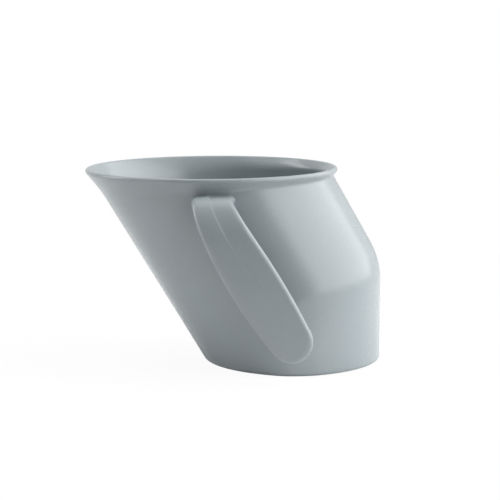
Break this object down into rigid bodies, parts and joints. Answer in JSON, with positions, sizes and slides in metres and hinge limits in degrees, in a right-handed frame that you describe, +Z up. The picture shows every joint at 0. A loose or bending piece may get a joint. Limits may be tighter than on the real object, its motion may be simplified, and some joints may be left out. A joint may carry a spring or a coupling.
{
  "type": "slanted training cup",
  "caption": "Slanted open training cup with an upright heel, a flared oval rim with a rounded lip, and open strap handles at both sides for small hands.",
  "frame": {"origin": "centre of the foot on the table", "axes": "+Z up, -X towards the sipping lip, +X towards the heel, -Y and +Y towards the handles"},
  "size_m": [0.1159, 0.11, 0.076],
  "materials": {
    "plastic": "semi-gloss moulded blue-grey"
  },
  "bodies": {
    "root": {"base_floor": "plastic", "foot_ring": "plastic", "slanted_wall": "plastic", "rim_collar": "plastic", "left_handle": "plastic", "right_handle": "plastic"}
  },
  "joints": []
}
